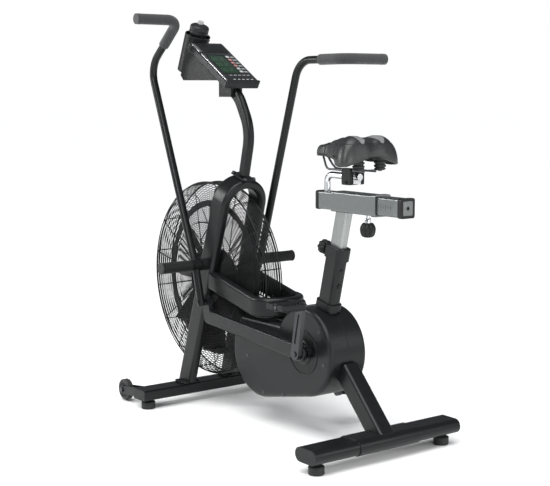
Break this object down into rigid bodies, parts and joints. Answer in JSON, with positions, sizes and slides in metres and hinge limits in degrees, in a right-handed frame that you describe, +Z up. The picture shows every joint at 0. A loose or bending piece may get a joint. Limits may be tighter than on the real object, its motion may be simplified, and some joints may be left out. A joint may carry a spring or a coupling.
{
  "type": "air bike",
  "caption": "Upright fan-resistance exercise bike with swinging handles, caged front fan, belt cover, sliding saddle, console and bottle holder.",
  "frame": {"origin": "on the floor, at the centre of the machine's footprint box", "axes": "+X forward to the fan, +Y to the rider's left, +Z up"},
  "size_m": [1.374, 0.63, 1.4035],
  "materials": {
    "frame_paint": "satin powder coat",
    "base_paint": "satin powder coat",
    "housing_plastic": "fine texture",
    "trim_plastic": "matte",
    "cage_wire": "semi-gloss",
    "fan_metal": "satin",
    "bright_steel": "brushed",
    "post_chrome": "polished",
    "hub_metal": "machined",
    "fastener_steel": "zinc plated",
    "tyre_rubber": "matte",
    "pad_rubber": "matte",
    "belt_rubber": "matte",
    "foam": "soft foam",
    "saddle_vinyl": "grained vinyl",
    "case_plastic": "satin gloss",
    "screen": "clear over a dim panel",
    "key_plastic": "satin",
    "bottle_plastic": "satin",
    "nozzle_plastic": "satin"
  },
  "bodies": {
    "frame": {"front_base": "base_paint", "rear_base": "base_paint", "end_caps_and_collars": "trim_plastic", "foot_pads": "pad_rubber", "fasteners": "fastener_steel", "wheel_plates": "frame_paint", "leg_left": "frame_paint", "leg_right": "frame_paint", "arch_top": "frame_paint", "hoop": "frame_paint", "fan_axle": "fastener_steel", "cage_left": "cage_wire", "cage_right": "cage_wire", "cage_rim": "cage_wire", "foot_pegs": "trim_plastic", "inner_frame": "frame_paint", "rear_stay": "frame_paint", "seat_tube": "frame_paint", "cover_left": "housing_plastic", "cover_right": "housing_plastic", "port_covers": "trim_plastic", "bearings": "fastener_steel", "drive_belts": "belt_rubber", "console_mast": "frame_paint", "console_bracket": "trim_plastic", "console_case": "case_plastic", "display": "screen", "bottle_holder": "trim_plastic"},
    "crank": {"crank_axle": "bright_steel", "crank_arms": "frame_paint", "crank_pulley": "hub_metal"},
    "pedal_left": {"pedal_left": "trim_plastic"},
    "pedal_right": {"pedal_right": "trim_plastic"},
    "jack_shaft": {"jack_shaft": "hub_metal"},
    "fan": {"fan_hub": "fan_metal", "fan_blades": "fan_metal"},
    "handle_left": {"handle_left": "frame_paint", "handle_grip_left": "foam"},
    "handle_right": {"handle_right": "frame_paint", "handle_grip_right": "foam"},
    "link_left": {"link_left": "frame_paint"},
    "link_right": {"link_right": "frame_paint"},
    "wheel_left": {"wheel_left": "tyre_rubber"},
    "wheel_right": {"wheel_right": "tyre_rubber"},
    "seat_post": {"seat_post": "bright_steel", "slider_sleeve": "frame_paint"},
    "height_pin": {"height_pin": "trim_plastic"},
    "slider_knob": {"slider_knob": "trim_plastic"},
    "slider": {"slider_tube": "bright_steel", "slider_caps": "trim_plastic", "saddle_pin": "post_chrome"},
    "saddle": {"saddle_cushion": "saddle_vinyl", "saddle_base": "trim_plastic", "saddle_rails": "fastener_steel", "saddle_clamp": "post_chrome"},
    "key_1": {"key_1": "key_plastic"},
    "key_2": {"key_2": "key_plastic"},
    "bottle": {"bottle_body": "bottle_plastic", "bottle_cap": "bottle_plastic"},
    "nozzle": {"bottle_nozzle": "nozzle_plastic"}
  },
  "joints": [
    {"name": "crank_spin", "type": "hinge", "parent": "frame", "child": "crank", "pos_m": [-0.276, 0, 0.295], "axis": [0, 1, 0], "continuous": true},
    {"name": "jack_spin", "type": "hinge", "parent": "frame", "child": "jack_shaft", "pos_m": [-0.036, 0, 0.253], "axis": [0, 1, 0], "continuous": true},
    {"name": "fan_spin", "type": "hinge", "parent": "frame", "child": "fan", "pos_m": [0.335, 0, 0.461], "axis": [0, 1, 0], "continuous": true},
    {"name": "pedal_left_spin", "type": "hinge", "parent": "crank", "child": "pedal_left", "pos_m": [-0.348, 0, 0.471], "axis": [0, 1, 0], "continuous": true},
    {"name": "pedal_right_spin", "type": "hinge", "parent": "crank", "child": "pedal_right", "pos_m": [-0.204, 0, 0.119], "axis": [0, 1, 0], "continuous": true},
    {"name": "link_left_swing", "type": "hinge", "parent": "crank", "child": "link_left", "pos_m": [-0.3215, 0.1175, 0.305], "axis": [0, 1, 0], "continuous": true},
    {"name": "link_right_swing", "type": "hinge", "parent": "crank", "child": "link_right", "pos_m": [-0.2305, -0.1175, 0.285], "axis": [0, 1, 0], "continuous": true},
    {"name": "handle_left_swing", "type": "hinge", "parent": "frame", "child": "handle_left", "pos_m": [0.252, 0, 0.527], "axis": [0, 1, 0], "range_deg": [-40, 0]},
    {"name": "handle_right_swing", "type": "hinge", "parent": "frame", "child": "handle_right", "pos_m": [0.252, 0, 0.527], "axis": [0, 1, 0], "range_deg": [0, 40]},
    {"name": "wheel_left_spin", "type": "hinge", "parent": "frame", "child": "wheel_left", "pos_m": [0.53, 0.271, 0.043], "axis": [0, 1, 0], "continuous": true},
    {"name": "wheel_right_spin", "type": "hinge", "parent": "frame", "child": "wheel_right", "pos_m": [0.53, -0.271, 0.043], "axis": [0, 1, 0], "continuous": true},
    {"name": "seat_height", "type": "slide", "parent": "frame", "child": "seat_post", "axis": [-0.2419, 0, 0.9703], "range_m": [-0.09, 0.12]},
    {"name": "height_pin_pull", "type": "slide", "parent": "frame", "child": "height_pin", "axis": [0.9703, 0, 0.2419], "range_m": [0, 0.01], "stiffness_N_per_m": 2000},
    {"name": "slider_fore_aft", "type": "slide", "parent": "seat_post", "child": "slider", "axis": [1, 0, 0], "range_m": [-0.038, 0.07]},
    {"name": "slider_knob_turn", "type": "hinge", "parent": "seat_post", "child": "slider_knob", "pos_m": [-0.504, 0, 0.74], "axis": [0, 0, 1], "range_deg": [0, 90]},
    {"name": "saddle_tilt", "type": "hinge", "parent": "slider", "child": "saddle", "pos_m": [-0.434, 0, 0.856], "axis": [0, 1, 0], "range_deg": [-8, 8]},
    {"name": "key_1_press", "type": "slide", "parent": "frame", "child": "key_1", "axis": [0.515, 0, -0.8572], "range_m": [0, 0.001], "stiffness_N_per_m": 1500},
    {"name": "key_2_press", "type": "slide", "parent": "frame", "child": "key_2", "axis": [0.515, 0, -0.8572], "range_m": [0, 0.001], "stiffness_N_per_m": 1500},
    {"name": "bottle_lift", "type": "slide", "parent": "frame", "child": "bottle", "axis": [-0.3875, 0, 0.9219], "range_m": [0, 0.15]},
    {"name": "nozzle_pull", "type": "slide", "parent": "bottle", "child": "nozzle", "axis": [-0.3875, 0, 0.9219], "range_m": [0, 0.006]}
  ],
  "couplings": [
    {"joint": "jack_spin", "follows": "crank_spin", "ratio": 2.5},
    {"joint": "fan_spin", "follows": "crank_spin", "ratio": 6.25},
    {"joint": "link_left_swing", "follows": "crank_spin", "ratio": -1},
    {"joint": "link_right_swing", "follows": "crank_spin", "ratio": -1},
    {"joint": "handle_right_swing", "follows": "handle_left_swing", "ratio": -1}
  ]
}
